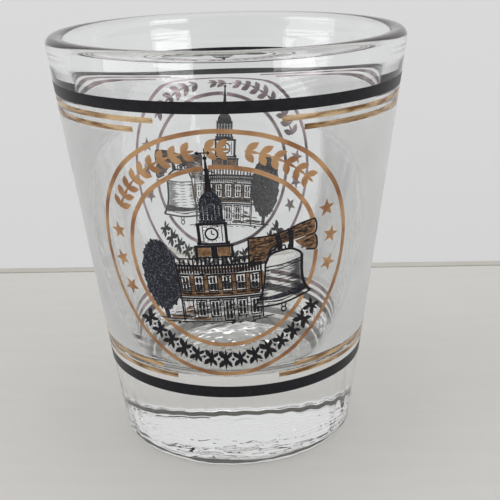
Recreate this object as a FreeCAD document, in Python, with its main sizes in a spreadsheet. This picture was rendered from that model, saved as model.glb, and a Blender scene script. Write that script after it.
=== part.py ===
import FreeCAD, Part
import Sketcher
import math
import os
from FreeCAD import Base, Vector

# Souvenir shot glass: one moulded glass and the thin enamel prints fired onto its outer wall.
# Millimetres, +Z up. The origin is the middle of the base, on the table, and the front print faces -Y.

doc = FreeCAD.newDocument("ShotGlass")

# Driving sizes. Prints near the rim are measured down from it, prints near the foot up from the table.
sizeRows = [
    ("height", 60.0, "overall height"),
    ("rim_radius", 25.4, "outer radius at the rim"),
    ("base_radius", 17.6, "outer radius at the table"),
    ("heel_round", 1.0, "rounding of the outer bottom edge"),
    ("lip_wall", 2.75, "wall at the rim"),
    ("lip_upright", 3.15, "height over which the cup's wall stands upright under the rim"),
    ("lip_round", 1.05, "rounding of both rim edges"),
    ("foot_wall", 4.2, "wall where it meets the cup's floor"),
    ("cup_floor", 13.5, "height of the cup's floor, the thick base"),
    ("cup_corner", 3.5, "rounding inside, between floor and wall"),
    ("foot_ring", 2.6, "width of the ring that rests on the table"),
    ("punt_depth", 0.35, "depth of the shallow dish under the base"),
    ("film", 0.12, "thickness of every fired print"),
    ("top_band_drop", 5.9, "rim down to the upper black band"),
    ("top_band_width", 1.55, "width of the upper black band"),
    ("top_band_gap", 0.6, "clear strip under the upper black band"),
    ("foot_band_rise", 11.95, "table up to the lower black band"),
    ("foot_band_width", 1.75, "width of the lower black band"),
    ("foot_band_gap", 0.9, "clear strip over the lower black band"),
    ("gold_line_width", 0.7, "width of each gold line"),
    ("gold_line_gap", 0.6, "clear strip between two gold lines"),
    ("frost_gap", 0.2, "clear strip between a gold line and the frost"),
    ("ring_clearance", 1.85, "medallion's outer ring to either black band"),
    ("ring_line", 0.6, "line width of the medallion's rings"),
    ("legend_space", 4.05, "clear space between the medallion's two rings"),
    ("legend_margin", 0.75, "legend ornament to either ring"),
    ("spire_clearance", 0.3, "top of the spire to the legend ornament over it"),
    ("window_margin", 2.25, "outer ring to the edge of the clear window"),
    ("medallion_tilt", 3.0, "turn of the medallions, degrees"),
    ("rear_turn", 189.0, "front medallion round to the rear one, degrees"),
    ("star_radius", 1.3, "outer radius of a star"),
    ("star_spread", 15.5, "angle between neighbouring stars, degrees"),
]
sheet = doc.addObject("Spreadsheet::Sheet", "sizes")
for row, (alias, value, note) in enumerate(sizeRows, start=1):
    sheet.set(f"A{row}", note)
    sheet.set(f"B{row}", str(value))
    sheet.setAlias(f"B{row}", alias)
doc.recompute()


def size(alias):
    return float(sheet.get(alias))


# ---------------------------------------------------------------- turned pieces, as bodies

def wallAt(level):
    # the outer wall's radius at a height, as an expression
    return f"(sizes.base_radius + (sizes.rim_radius - sizes.base_radius) * ({level}) / sizes.height)"


def originPlane(body, role):
    return next(item for item in body.Origin.OriginFeatures if item.Role == role)


def turnedBody(label, corners):
    # A closed outline on the XZ plane turned about Z. Each corner is a pair of expressions, radius and
    # height; a radius of None keeps the corner on the axis.
    body = doc.addObject("PartDesign::Body", label)
    body.Label = label
    sketch = body.newObject("Sketcher::SketchObject", f"{label}_outline")
    sketch.AttachmentSupport = [(originPlane(body, "XZ_Plane"), "")]
    sketch.MapMode = "FlatFace"
    # rough places only: the constraints below set every corner
    rough = []
    for index in range(len(corners)):
        angle = -math.pi / 2 + 2 * math.pi * index / len(corners)
        rough.append(Vector(30 + 10 * math.cos(angle), 30 + 10 * math.sin(angle), 0))
    for index, start in enumerate(rough):
        sketch.addGeometry(Part.LineSegment(start, rough[(index + 1) % len(rough)]), False)
    for index in range(len(corners)):
        following = (index + 1) % len(corners)
        sketch.addConstraint(Sketcher.Constraint("Coincident", index, 2, following, 1))
    for index, (radius, level) in enumerate(corners):
        if radius is None:
            sketch.addConstraint(Sketcher.Constraint("PointOnObject", index, 1, -2))
        else:
            side = sketch.addConstraint(Sketcher.Constraint("DistanceX", -1, 1, index, 1, 1.0))
            sketch.setExpression(f"Constraints[{side}]", radius)
        if level is None:
            sketch.addConstraint(Sketcher.Constraint("PointOnObject", index, 1, -1))
        else:
            rise = sketch.addConstraint(Sketcher.Constraint("DistanceY", -1, 1, index, 1, 1.0))
            sketch.setExpression(f"Constraints[{rise}]", level)
    turn = body.newObject("PartDesign::Revolution", f"{label}_turn")
    turn.Profile = sketch
    turn.ReferenceAxis = (sketch, ["V_Axis"])
    turn.Angle = 360
    doc.recompute()
    return body


def ringEdge(shape, radius, level):
    # the name of the circular edge of that radius at that height
    for number, edge in enumerate(shape.Edges, start=1):
        curve = edge.Curve
        if isinstance(curve, Part.Circle) and abs(curve.Radius - radius) < 1e-4:
            if abs(curve.Center.z - level) < 1e-4:
                return f"Edge{number}"
    raise ValueError(f"no ring of radius {radius} at {level}")


def roundedRings(body, name, rings, radiusAlias):
    # rounds the named body's circular edges, given as radius and height
    base = body.Tip
    fillet = body.newObject("PartDesign::Fillet", name)
    fillet.Base = (base, [ringEdge(base.Shape, radius, level) for radius, level in rings])
    fillet.setExpression("Radius", f"sizes.{radiusAlias}")
    doc.recompute()


def outerWall(level):
    return size("base_radius") + (size("rim_radius") - size("base_radius")) * level / size("height")


def glassBody():
    # thick base with a shallow dish under it, straight tapering wall, full round lip that thickens inwards
    body = turnedBody("glass_body", [
        (None, "sizes.punt_depth"),
        ("sizes.base_radius - sizes.heel_round - sizes.foot_ring", None),
        ("sizes.base_radius", None),
        ("sizes.rim_radius", "sizes.height"),
        ("sizes.rim_radius - sizes.lip_wall", "sizes.height"),
        ("sizes.rim_radius - sizes.lip_wall", "sizes.height - sizes.lip_upright"),
        (f"{wallAt('sizes.cup_floor')} - sizes.foot_wall", "sizes.cup_floor"),
        (None, "sizes.cup_floor"),
    ])
    innerFoot = outerWall(size("cup_floor")) - size("foot_wall")
    innerLip = size("rim_radius") - size("lip_wall")
    roundedRings(body, "heel", [(size("base_radius"), 0)], "heel_round")
    roundedRings(body, "cup_bottom", [(innerFoot, size("cup_floor"))], "cup_corner")
    lip = [(size("rim_radius"), size("height")), (innerLip, size("height"))]
    roundedRings(body, "lip", lip, "lip_round")
    return body


def bandBody(label, low, high):
    # a film right round the outer wall, between two heights given as expressions
    return turnedBody(label, [
        (wallAt(low), low),
        (f"{wallAt(low)} + sizes.film", low),
        (f"{wallAt(high)} + sizes.film", high),
        (wallAt(high), high),
    ])


# ---------------------------------------------------------------- where the prints lie

topBandLow = size("height") - size("top_band_drop") - size("top_band_width")
footBandHigh = size("foot_band_rise") + size("foot_band_width")
goldPitch = size("gold_line_width") + size("gold_line_gap")
topGoldLows = [topBandLow - size("top_band_gap") - size("gold_line_width") - goldPitch * n for n in (0, 1)]
footGoldLows = [footBandHigh + size("foot_band_gap") + goldPitch * n for n in (1, 0)]
frostLow = footGoldLows[0] + size("gold_line_width") + size("frost_gap")
frostHigh = topGoldLows[1] - size("frost_gap")

# the medallions sit midway between the black bands; lengths up the wall run along its slant
slant = math.atan2(size("rim_radius") - size("base_radius"), size("height"))
medallionLevel = (topBandLow + footBandHigh) / 2
medallionWall = outerWall(medallionLevel)
ringOuter = (topBandLow - footBandHigh) / 2 / math.cos(slant) - size("ring_clearance")
ringInner = ringOuter - size("ring_line") - size("legend_space")
windowRadius = ringOuter + size("window_margin")
frontHeading = -90.0
rearHeading = frontHeading + size("rear_turn")

# the picture is drawn for an inner ring of this radius, and grows or shrinks with the ring
drawnRing = 13.1
pictureScale = ringInner / drawnRing


class Wrap:
    # The outer wall unrolled about one heading: across is the arc to the right of it, as seen from
    # outside, and up is measured along the slant from the given height.
    def __init__(self, heading, level, tilt=0.0):
        foot = Vector(0, 0, 0)
        top = Vector(0, 0, size("height"))
        self.surface = Part.Cone(foot, top, size("base_radius"), size("rim_radius"))
        # the surface's seam goes opposite the heading
        seam = self.surface.value(0, 0)
        seamHeading = math.degrees(math.atan2(seam.y, seam.x))
        turn = FreeCAD.Rotation(Vector(0, 0, 1), heading - 180 - seamHeading)
        self.surface.rotate(FreeCAD.Placement(Vector(), turn))
        self.radius = outerWall(level)
        self.level = level / math.cos(slant)
        self.tilt = math.radians(tilt)

    def point(self, across, up):
        turnedAcross = across * math.cos(self.tilt) - up * math.sin(self.tilt)
        turnedUp = across * math.sin(self.tilt) + up * math.cos(self.tilt)
        return Base.Vector2d(math.pi + turnedAcross / self.radius, self.level + turnedUp)

    def disc(self, radius, across=0.0):
        # an ellipse in angle and length: the longer axis is given first, and the angle is the shorter
        middle = self.point(across, 0)
        top = Base.Vector2d(middle.x, middle.y + radius)
        side = Base.Vector2d(middle.x + radius / self.radius, middle.y)
        edge = Part.Geom2d.Ellipse2d(top, side, middle).toShape(self.surface)
        return Part.Face(self.surface, Part.Wire([edge]))

    def patch(self, corners):
        places = [self.point(across, up) for across, up in corners]
        edges = []
        for index, start in enumerate(places):
            line = Part.Geom2d.Line2dSegment(start, places[(index + 1) % len(places)])
            edges.append(line.toShape(self.surface))
        return Part.Face(self.surface, Part.Wire(edges))


def largestFaces(shape, count=1):
    return sorted(shape.Faces, key=lambda face: -face.Area)[:count]


def filmPiece(label, face):
    # the print's outline on the glass, and the film that stands on it
    outline = doc.addObject("Part::Feature", f"{label}_outline")
    outline.Shape = face
    film = doc.addObject("Part::Offset", label)
    film.Label = label
    film.Source = outline
    film.setExpression("Value", "sizes.film")
    film.Fill = True
    return film


# ---------------------------------------------------------------- outlines of the picture

def arcPoints(middle, radii, start, end, count):
    # points along an arc of an ellipse; angles in degrees
    points = []
    for step in range(count + 1):
        angle = math.radians(start + (end - start) * step / count)
        points.append((middle[0] + radii[0] * math.cos(angle), middle[1] + radii[1] * math.sin(angle)))
    return points


def starPoints(angle):
    # a five-pointed star between the two rings, its point away from the middle of the medallion
    orbit = (ringInner + ringOuter - size("ring_line")) / 2
    middle = (orbit * math.cos(math.radians(angle)), orbit * math.sin(math.radians(angle)))
    points = []
    for step in range(10):
        reach = size("star_radius") * (0.42 if step % 2 else 1.0)
        turn = math.radians(angle + 36 * step)
        points.append((middle[0] + reach * math.cos(turn), middle[1] + reach * math.sin(turn)))
    return points


def friezePoints(start, end):
    # a strip of the space between the rings
    low = ringInner + size("legend_margin")
    high = low + size("legend_space") - 2 * size("legend_margin")
    steps = max(2, round((end - start) / 4))
    outside = arcPoints((0, 0), (high, high), start, end, steps)
    inside = arcPoints((0, 0), (low, low), end, start, steps)
    return outside + inside


def scaled(points):
    return [(across * pictureScale, up * pictureScale) for across, up in points]


def boxPoints(left, right, low, high):
    return [(left, low), (right, low), (right, high), (left, high)]


# town hall: one long block, and the tower over its middle
hallPoints = boxPoints(-6.4, 5.0, -9.1, 0.3)
towerPoints = boxPoints(-3.4, 1.5, 0.4, 2.15)
clockPoints = boxPoints(-2.75, 0.85, 2.25, 5.2)
belfryPoints = arcPoints((-0.8, 8.3), (1.25, 1.25), 0, 180, 12) + [(-2.3, 5.3), (0.7, 5.3)]
spireTop = (ringInner + size("legend_margin") - size("spire_clearance")) / pictureScale
spirePoints = [(-1.15, 9.6), (-0.45, 9.6), (-0.7, spireTop), (-0.9, spireTop)]
treePoints = arcPoints((-8.85, -2.3), (2.75, 5.15), 0, 345, 23)
# the yoke is a stout timber, tilted up to the right and forked at that end
yokeTop = [(12.6, 4.05), (8.6, 3.2), (3.45, 2.75)]
yokePoints = [(3.35, -1.1), (5.4, -0.9), (6.1, 0.5), (10.2, 1.3), (11.0, -0.1), (12.75, -0.3)] + yokeTop
# shoulder, waist and flared lip, then back along the lip
bellSkirt = [(10.7, -3.5), (12.0, -6.5), (3.7, -7.4), (5.35, -3.5)]
bellPoints = arcPoints((8.05, -0.95), (2.5, 1.4), 150, 30, 6) + bellSkirt
clapperPoints = arcPoints((7.9, -7.9), (0.5, 0.85), 0, 330, 11)

upperGroups = [(98, 153), (83, 93), (38, 76)]
lowerGroup = (213, 328)
starMiddles = (4.0, 182.0)


def medallion(side, heading):
    wrap = Wrap(heading, medallionLevel, size("medallion_tilt"))
    pieces = []

    # the bell and its yoke overprint the inner ring and the hall, and stay clear of the outer one
    bell = wrap.patch(scaled(bellPoints))
    yoke = wrap.patch(scaled(yokePoints)).cut(bell)
    tree = wrap.patch(scaled(treePoints))
    hall = wrap.patch(scaled(hallPoints)).cut(bell).cut(yoke).cut(tree)
    clapper = wrap.patch(scaled(clapperPoints)).cut(bell)
    spire = wrap.patch(scaled(spirePoints))
    innerRing = wrap.disc(ringInner).cut(wrap.disc(ringInner - size("ring_line")))
    innerRing = innerRing.cut(bell).cut(yoke).cut(tree).cut(spire)
    outerRing = wrap.disc(ringOuter).cut(wrap.disc(ringOuter - size("ring_line")))

    pieces.append(filmPiece(f"{side}_outer_ring", largestFaces(outerRing)[0]))
    for number, face in enumerate(largestFaces(innerRing, 3), start=1):
        pieces.append(filmPiece(f"{side}_inner_ring_{number}", face))
    stars = [middle + size("star_spread") * step for middle in starMiddles for step in (-1, 0, 1)]
    for number, angle in enumerate(stars, start=1):
        pieces.append(filmPiece(f"{side}_star_{number}", wrap.patch(starPoints(angle))))
    for number, (start, end) in enumerate(upperGroups, start=1):
        pieces.append(filmPiece(f"{side}_upper_frieze_{number}", wrap.patch(friezePoints(start, end))))
    pieces.append(filmPiece(f"{side}_lower_frieze", wrap.patch(friezePoints(*lowerGroup))))

    pieces.append(filmPiece(f"{side}_tree", tree))
    pieces.append(filmPiece(f"{side}_hall", largestFaces(hall)[0]))
    pieces.append(filmPiece(f"{side}_tower", wrap.patch(scaled(towerPoints))))
    pieces.append(filmPiece(f"{side}_clock_stage", wrap.patch(scaled(clockPoints))))
    pieces.append(filmPiece(f"{side}_belfry", wrap.patch(scaled(belfryPoints))))
    pieces.append(filmPiece(f"{side}_spire", spire))
    pieces.append(filmPiece(f"{side}_yoke", largestFaces(yoke)[0]))
    pieces.append(filmPiece(f"{side}_bell", bell))
    pieces.append(filmPiece(f"{side}_clapper", largestFaces(clapper)[0]))
    return pieces


def sidePieces(side, start, end):
    # the frost and the four gold lines on one side, between the two medallions; the windows cut their ends
    wall = Wrap((start + end) / 2, medallionLevel)
    reach = math.radians(end - start) / 2 * wall.radius
    windows = [wall.disc(windowRadius, across) for across in (-reach, reach)]

    def strip(label, low, high):
        rise = [level / math.cos(slant) - wall.level for level in (low, high)]
        face = wall.patch(boxPoints(-reach, reach, rise[0], rise[1]))
        return filmPiece(label, largestFaces(face.cut(windows[0]).cut(windows[1]))[0])

    pieces = [strip(f"frost_{side}", frostLow, frostHigh)]
    for place, lows in (("upper", topGoldLows), ("lower", footGoldLows)):
        for number, low in enumerate(lows, start=1):
            label = f"{place}_gold_line_{number}_{side}"
            pieces.append(strip(label, low, low + size("gold_line_width")))
    return pieces


# ---------------------------------------------------------------- build, check and write

nodes = [
    glassBody(),
    bandBody(
        "upper_black_band",
        "(sizes.height - sizes.top_band_drop - sizes.top_band_width)",
        "(sizes.height - sizes.top_band_drop)",
    ),
    bandBody(
        "lower_black_band",
        "sizes.foot_band_rise",
        "(sizes.foot_band_rise + sizes.foot_band_width)",
    ),
]
nodes += sidePieces("right", frontHeading, rearHeading)
nodes += sidePieces("left", rearHeading, frontHeading + 360)
nodes += medallion("front", frontHeading)
nodes += medallion("rear", rearHeading)
doc.recompute()

for item in doc.Objects:
    if "Invalid" in item.State or "Error" in item.State:
        raise RuntimeError(f"{item.Label}: {item.State}")
for node in nodes:
    if node.Shape.isNull() or not node.Shape.isValid() or len(node.Shape.Solids) != 1:
        raise RuntimeError(f"{node.Label} is not one valid solid")

os.makedirs("parts", exist_ok=True)
for node in nodes:
    node.Shape.exportStep(f"parts/{node.Label}.step")
print(len(nodes), "pieces")
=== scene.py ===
import math

import bmesh
import bpy
import numpy as np
from mathutils import Matrix, Vector


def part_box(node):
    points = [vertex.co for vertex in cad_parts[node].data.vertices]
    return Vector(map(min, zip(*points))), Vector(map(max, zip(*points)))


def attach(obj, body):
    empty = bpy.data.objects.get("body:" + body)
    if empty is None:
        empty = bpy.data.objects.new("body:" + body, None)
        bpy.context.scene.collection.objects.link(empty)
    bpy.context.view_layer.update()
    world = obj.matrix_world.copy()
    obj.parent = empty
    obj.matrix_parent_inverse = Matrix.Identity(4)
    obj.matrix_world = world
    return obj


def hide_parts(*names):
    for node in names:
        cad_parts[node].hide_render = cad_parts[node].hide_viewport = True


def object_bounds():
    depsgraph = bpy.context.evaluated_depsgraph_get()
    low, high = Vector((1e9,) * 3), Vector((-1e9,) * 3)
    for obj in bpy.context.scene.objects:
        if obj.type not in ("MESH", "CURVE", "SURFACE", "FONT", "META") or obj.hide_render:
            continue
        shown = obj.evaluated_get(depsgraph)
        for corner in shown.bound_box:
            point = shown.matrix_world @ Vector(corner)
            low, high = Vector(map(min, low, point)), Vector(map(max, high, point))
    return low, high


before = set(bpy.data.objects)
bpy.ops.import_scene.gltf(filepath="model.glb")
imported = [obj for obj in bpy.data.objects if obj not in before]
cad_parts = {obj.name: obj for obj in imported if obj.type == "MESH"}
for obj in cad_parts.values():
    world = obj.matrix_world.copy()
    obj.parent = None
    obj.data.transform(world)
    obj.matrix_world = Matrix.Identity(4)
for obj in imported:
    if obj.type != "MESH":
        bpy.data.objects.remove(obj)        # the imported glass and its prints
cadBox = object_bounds()
mm = 0.001
print("frame loaded:", len(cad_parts), "nodes")


# the outer wall and where the prints lie on it

cadFilm = 0.12 * mm      # the CAD prints' thickness, taken off their boxes to get the glass itself

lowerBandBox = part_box("lower_black_band")
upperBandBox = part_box("upper_black_band")
taper = (upperBandBox[1].x - lowerBandBox[1].x) / (upperBandBox[1].z - lowerBandBox[1].z)
slant = math.atan(taper)


def wallRadius(z):
    # straight taper through the tops of the two black bands
    return lowerBandBox[1].x - cadFilm + taper * (z - lowerBandBox[1].z)


def headingOf(node):
    # the middle of the directions in which a node's points lie, seen from the axis
    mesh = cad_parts[node].data
    places = np.empty(len(mesh.vertices) * 3)
    mesh.vertices.foreach_get("co", places)
    places = places.reshape(-1, 3)
    turn = np.arctan2(places[:, 1], places[:, 0])
    return float(turn.min() + turn.max()) / 2


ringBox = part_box("front_outer_ring")
medallion = {
    "level": (ringBox[0].z + ringBox[1].z) / 2,
    "ringOuter": (ringBox[1].z - ringBox[0].z) / 2 / math.cos(slant),
    "ringLine": 0.6 * mm,
    "legendSpace": 4.05 * mm,
    "windowMargin": 2.25 * mm,
    "tilt": math.radians(3),
    "drawnRing": 13.1 * mm,   # the picture is drawn in millimetres for an inner ring of this radius
}
ringOuter = medallion["ringOuter"]
ringInner = ringOuter - medallion["ringLine"] - medallion["legendSpace"]
windowRadius = ringOuter + medallion["windowMargin"]
artScale = ringInner / medallion["drawnRing"]
wallAtMedallion = wallRadius(medallion["level"])
headings = {"front": headingOf("front_outer_ring"), "rear": headingOf("rear_outer_ring")}


def onWall(flat, lift, heading, level, tilt=0.0):
    # flat x is arc to the right seen from outside, flat y is length up the slant; both are turned by the
    # tilt, rolled round the cone, and lifted along the cone's own normal
    x = flat[..., 0] * math.cos(tilt) - flat[..., 1] * math.sin(tilt)
    y = flat[..., 0] * math.sin(tilt) + flat[..., 1] * math.cos(tilt)
    angle = heading + x / wallRadius(level)
    z = level + y * math.cos(slant)
    radius = wallRadius(z) + lift * math.cos(slant)
    return np.stack([radius * np.cos(angle), radius * np.sin(angle), z - lift * math.sin(slant)], -1)


# meshes from grids

def gridFaces(rows, cols, closedRows=False):
    # quads between neighbouring rows and columns of a grid numbered row by row
    i = np.arange(rows if closedRows else rows - 1)[:, None]
    j = np.arange(cols - 1)[None, :]
    nextI = (i + 1) % rows
    quads = np.stack([i * cols + j, nextI * cols + j, nextI * cols + j + 1, i * cols + j + 1], -1)
    return quads.reshape(-1, 4)


def thinShell(outer, inner, closedRows=False):
    # two grids of the same size, one each side of a film, with walls round their open edges
    rows, cols = outer.shape[:2]
    count = rows * cols
    faces = gridFaces(rows, cols, closedRows)
    index = np.arange(count).reshape(rows, cols)
    if closedRows:
        loops = [np.append(index[:, 0], index[0, 0]), np.append(index[:, -1], index[0, -1])]
    else:
        loops = [np.concatenate([index[0, :-1], index[:-1, -1], index[-1, :0:-1], index[::-1, 0]])]
    walls = [np.stack([edge[:-1], edge[1:], edge[1:] + count, edge[:-1] + count], -1) for edge in loops]
    points = np.concatenate([outer.reshape(-1, 3), inner.reshape(-1, 3)])
    allFaces = np.concatenate([faces, faces[:, ::-1] + count] + walls)
    under = np.zeros(len(allFaces), int)
    under[len(faces):2 * len(faces)] = 1
    return points, allFaces, under


def addPiece(name, shells, materials, merge=1e-8, sharp=40, attributes=None):
    # joins shells into one mesh; a second material, if there is one, goes on the sides that face the glass
    points, faces, slots, start = [], [], [], 0
    for shellPoints, shellFaces, under in shells:
        points.append(shellPoints)
        faces.append(shellFaces + start)
        slots.append(np.minimum(under, len(materials) - 1))
        start += len(shellPoints)
    points = np.concatenate(points)
    faces = np.concatenate(faces)
    mesh = bpy.data.meshes.new(name)
    mesh.vertices.add(len(points))
    mesh.vertices.foreach_set("co", points.astype(np.float32).ravel())
    mesh.loops.add(faces.size)
    mesh.loops.foreach_set("vertex_index", faces.astype(np.int32).ravel())
    mesh.polygons.add(len(faces))
    mesh.polygons.foreach_set("loop_start", np.arange(0, faces.size, 4, dtype=np.int32))
    mesh.polygons.foreach_set("material_index", np.concatenate(slots).astype(np.int32))
    mesh.update(calc_edges=True)
    for key, values in (attributes or {}).items():
        mesh.attributes.new(key, "FLOAT", "POINT").data.foreach_set("value", values.astype(np.float32))
    work = bmesh.new()
    work.from_mesh(mesh)
    bmesh.ops.remove_doubles(work, verts=work.verts, dist=merge)
    bmesh.ops.recalc_face_normals(work, faces=work.faces)
    work.to_mesh(mesh)
    work.free()
    for material in materials:
        mesh.materials.append(material)
    mesh.polygons.foreach_set("use_smooth", np.ones(len(mesh.polygons), bool))
    mesh.set_sharp_from_angle(angle=math.radians(sharp))
    piece = bpy.data.objects.new(name, mesh)
    bpy.context.scene.collection.objects.link(piece)
    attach(piece, "root")
    return piece


# materials

def newMaterial(name):
    material = bpy.data.materials.new(name)
    material.use_nodes = True
    tree = material.node_tree
    return material, tree, tree.nodes["Principled BSDF"]


def setInputs(node, values):
    for name, value in values.items():
        node.inputs[name].default_value = value


def link(tree, giver, output, taker, entry):
    tree.links.new(giver.outputs[output], taker.inputs[entry])


def noiseOf(tree, scale, detail=3.0, stretch=(1, 1, 1)):
    # noise on the object's own coordinates, scale in patches per metre
    place = tree.nodes.new("ShaderNodeTexCoord")
    mapping = tree.nodes.new("ShaderNodeMapping")
    setInputs(mapping, {"Scale": stretch})
    noise = tree.nodes.new("ShaderNodeTexNoise")
    setInputs(noise, {"Scale": scale, "Detail": detail})
    link(tree, place, "Object", mapping, "Vector")
    link(tree, mapping, "Vector", noise, "Vector")
    return noise


def rampOf(tree, source, stops):
    ramp = tree.nodes.new("ShaderNodeValToRGB")
    elements = ramp.color_ramp.elements
    for element, (position, color) in zip(elements, stops[:2]):
        element.position = position
        element.color = color
    for position, color in stops[2:]:
        elements.new(position).color = color
    tree.links.new(source, ramp.inputs["Fac"])
    return ramp


def bumpOf(tree, shader, source, strength, distance):
    bump = tree.nodes.new("ShaderNodeBump")
    setInputs(bump, {"Strength": strength, "Distance": distance})
    tree.links.new(source, bump.inputs["Height"])
    link(tree, bump, "Normal", shader, "Normal")


def glossOf(tree, shader, source, low, high):
    # roughness that wanders between low and high
    gloss = tree.nodes.new("ShaderNodeMapRange")
    setInputs(gloss, {"To Min": low, "To Max": high})
    tree.links.new(source, gloss.inputs["Value"])
    link(tree, gloss, "Result", shader, "Roughness")


def clearGlass():
    # soda glass, with the slight waviness of a pressed wall
    material, tree, shader = newMaterial("clearGlass")
    setInputs(shader, {
        "Base Color": (0.985, 0.992, 0.992, 1), "Transmission Weight": 1.0, "IOR": 1.52,
        "Roughness": 0.0,
    })
    waves = noiseOf(tree, 120.0, 1.0, (1, 1, 0.6))
    bumpOf(tree, shader, waves.outputs["Fac"], 0.05, 0.10 * mm)
    return material


def enamel(name, dark, light, roughness, grain=1500.0, spread=(0.35, 0.75), shine=0.2):
    # fired enamel: a little uneven in tone and gloss
    material, tree, shader = newMaterial(name)
    setInputs(shader, {"Specular IOR Level": shine})
    noise = noiseOf(tree, grain, 4.0)
    tone = rampOf(tree, noise.outputs["Fac"], [(spread[0], (*dark, 1)), (spread[1], (*light, 1))])
    link(tree, tone, "Color", shader, "Base Color")
    glossOf(tree, shader, noise.outputs["Fac"], roughness - 0.06, roughness + 0.10)
    return material


def lustre(name, dark, light, roughness, metallic=1.0, streak=(1, 1, 1)):
    # a metal film: its tone wanders along it, and where the noise is stretched along a line its dark and
    # light streaks are a painted reflection; the brushed grain of the print shows in the gloss
    material, tree, shader = newMaterial(name)
    setInputs(shader, {"Metallic": metallic})
    cloud = noiseOf(tree, 260.0, 4.0, streak)
    tone = rampOf(tree, cloud.outputs["Fac"], [(0.36, (*dark, 1)), (0.62, (*light, 1))])
    link(tree, tone, "Color", shader, "Base Color")
    grain = noiseOf(tree, 1600.0, 2.0, streak)
    glossOf(tree, shader, grain.outputs["Fac"], roughness - 0.08, roughness + 0.12)
    bumpOf(tree, shader, grain.outputs["Fac"], 0.25, 0.02 * mm)
    return material


def frostMaterial():
    # satin white that lets light through: a fine grain, a slow cloud where the spray was thinner, and the
    # soft edge round the windows, which comes from the piece's own "cover" attribute
    material, tree, shader = newMaterial("frostEnamel")
    setInputs(shader, {"Roughness": 0.5, "Specular IOR Level": 0.4})
    cloud = noiseOf(tree, 130.0, 4.0)
    tone = rampOf(tree, cloud.outputs["Fac"], [(0.3, (0.735, 0.74, 0.745, 1)), (0.7, (0.84, 0.84, 0.84, 1))])
    link(tree, tone, "Color", shader, "Base Color")
    grain = noiseOf(tree, 3500.0, 3.0)
    bumpOf(tree, shader, grain.outputs["Fac"], 0.35, 0.012 * mm)
    through = tree.nodes.new("ShaderNodeBsdfTranslucent")
    setInputs(through, {"Color": (0.95, 0.95, 0.945, 1)})
    clear = tree.nodes.new("ShaderNodeBsdfTransparent")
    body = tree.nodes.new("ShaderNodeMixShader")
    setInputs(body, {"Fac": 0.6})
    link(tree, shader, "BSDF", body, 1)
    link(tree, through, "BSDF", body, 2)
    feather = tree.nodes.new("ShaderNodeAttribute")
    feather.attribute_name = "cover"
    final = tree.nodes.new("ShaderNodeMixShader")
    link(tree, feather, "Fac", final, "Fac")
    link(tree, clear, "BSDF", final, 1)
    link(tree, body, "Shader", final, 2)
    link(tree, final, "Shader", tree.nodes["Material Output"], "Surface")
    return material


glass = clearGlass()
blackEnamel = enamel("blackEnamel", (0.006, 0.006, 0.009), (0.013, 0.012, 0.017), 0.34)
navyEnamel = enamel("navyEnamel", (0.012, 0.013, 0.020), (0.15, 0.16, 0.20), 0.5, 4200.0, (0.50, 0.74))
brownEnamel = enamel("brownEnamel", (0.10, 0.050, 0.024), (0.30, 0.175, 0.09), 0.45, 1400.0, (0.35, 0.65))
# gold lines: the base colour runs in streaks from dark brown to cream along each line, a painted reflection
# over the print's own uneven gold
goldLustre = lustre("goldLustre", (0.22, 0.115, 0.05), (0.74, 0.54, 0.33), 0.26, 1.0, (1, 1, 7))
copperLustre = lustre("copperLustre", (0.33, 0.16, 0.085), (0.60, 0.36, 0.19), 0.32)
lustreBack = lustre("lustreBack", (0.13, 0.10, 0.11), (0.50, 0.37, 0.39), 0.40, 0.6)
frost = frostMaterial()


# the glass itself

glassShape = {
    "lipWall": 2.2 * mm,
    "lipRound": 1.1 * mm,
    "beadDepth": 3.7 * mm,     # over this height the cup's wall stands upright, so the lip is thicker
    "beadBlend": 1.1 * mm,
    "heelRound": 1.0 * mm,
    "footRing": 2.6 * mm,
    "puntDepth": 0.35 * mm,
    "footWall": 4.2 * mm,
    "cupFloor": 13.5 * mm,
    "cupCorner": 3.5 * mm,
    "around": 320,
    "ripple": 0.06 * mm,       # how far the cup's floor and the foot stray from true
    "calm": 4.0 * mm,          # no unevenness in the middle, where the mesh closes
    "floorTop": 20 * mm,       # the cup's floor is uneven below this level, and fully so one fade lower;
    "floorFade": 8 * mm,
    "underTop": 2.2 * mm,      # so is the underside below this one,
    "underFade": 1.2 * mm,
    "footTop": 15 * mm,        # and the foot's outside below this one
    "footFade": 9 * mm,
    "standing": 0.02 * mm,     # what lies lower than this is the ring it stands on, and stays flat
}


def cornerArc(before, corner, after, radius, count=14):
    # rounds the corner of an outline: an arc that touches the line into it and the line out of it
    before, corner, after = (np.array(p, float) for p in (before, corner, after))
    a = (before - corner) / np.linalg.norm(before - corner)
    b = (after - corner) / np.linalg.norm(after - corner)
    half = math.acos(np.clip(a @ b, -1, 1)) / 2
    middle = corner + (a + b) / np.linalg.norm(a + b) * radius / math.sin(half)
    reach = radius / math.tan(half)
    first = corner + a * reach - middle
    last = corner + b * reach - middle
    start = math.atan2(first[1], first[0])
    sweep = (math.atan2(last[1], last[0]) - start + math.pi) % (2 * math.pi) - math.pi
    angle = start + np.linspace(0, 1, count) * sweep
    return middle + radius * np.stack([np.cos(angle), np.sin(angle)], -1)


def crowded(start, end, count):
    # points from start to end that lie closer together near both ends
    t = (1 - np.cos(np.linspace(0, math.pi, count))) / 2
    return np.array(start) + (np.array(end) - np.array(start)) * t[:, None]


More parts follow.
